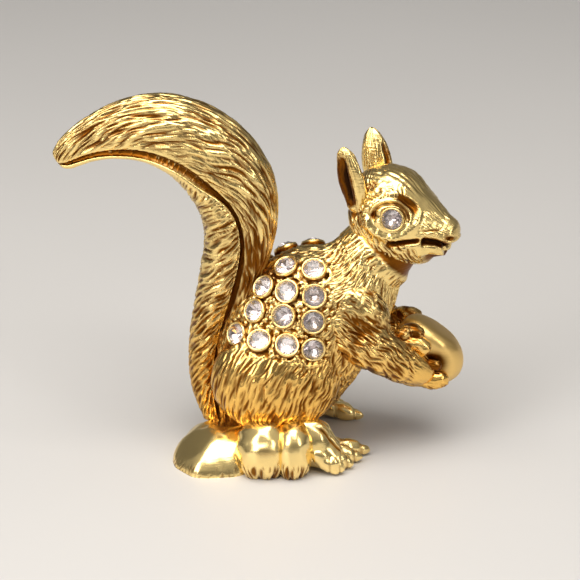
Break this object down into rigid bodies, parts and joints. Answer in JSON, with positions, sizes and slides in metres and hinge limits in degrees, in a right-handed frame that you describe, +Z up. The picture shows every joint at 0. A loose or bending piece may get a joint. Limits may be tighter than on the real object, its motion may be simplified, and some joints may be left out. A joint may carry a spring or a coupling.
{
  "type": "squirrel figurine",
  "caption": "Gold-plated cast squirrel figurine with furred body and arched tail, holding a nut, with cut-glass stones set in its flanks and eyes, standing on its feet and a ground piece.",
  "frame": {"origin": "on the ground plane and in the squirrel's median plane, near the middle of its length, on the ground piece's flat underside", "axes": "+X the way the squirrel's body faces, +Y to its left, +Z up"},
  "size_m": [0.0613, 0.0292, 0.0558],
  "materials": {
    "gold_fur": "gold plate over cast fur lines, polished on the high spots",
    "gold_smooth": "gold plate, polished smooth",
    "stone": "clear cut glass with a foiled back"
  },
  "bodies": {
    "root": {"body": "gold_fur", "head": "gold_fur", "tail": "gold_fur", "right_foreleg": "gold_fur", "left_foreleg": "gold_fur", "nut": "gold_smooth", "right_hind_foot": "gold_smooth", "left_hind_foot": "gold_smooth", "ground": "gold_smooth", "right_flank_stone_01": "stone", "right_flank_stone_02": "stone", "right_flank_stone_03": "stone", "right_flank_stone_04": "stone", "right_flank_stone_05": "stone", "right_flank_stone_06": "stone", "right_flank_stone_07": "stone", "right_flank_stone_08": "stone", "right_flank_stone_09": "stone", "right_flank_stone_10": "stone", "right_flank_stone_11": "stone", "right_flank_stone_12": "stone", "left_flank_stone_01": "stone", "left_flank_stone_02": "stone", "left_flank_stone_03": "stone", "left_flank_stone_04": "stone", "left_flank_stone_05": "stone", "left_flank_stone_06": "stone", "left_flank_stone_07": "stone", "left_flank_stone_08": "stone", "left_flank_stone_09": "stone", "left_flank_stone_10": "stone", "left_flank_stone_11": "stone", "left_flank_stone_12": "stone", "right_eye_stone": "stone", "left_eye_stone": "stone"}
  },
  "joints": []
}
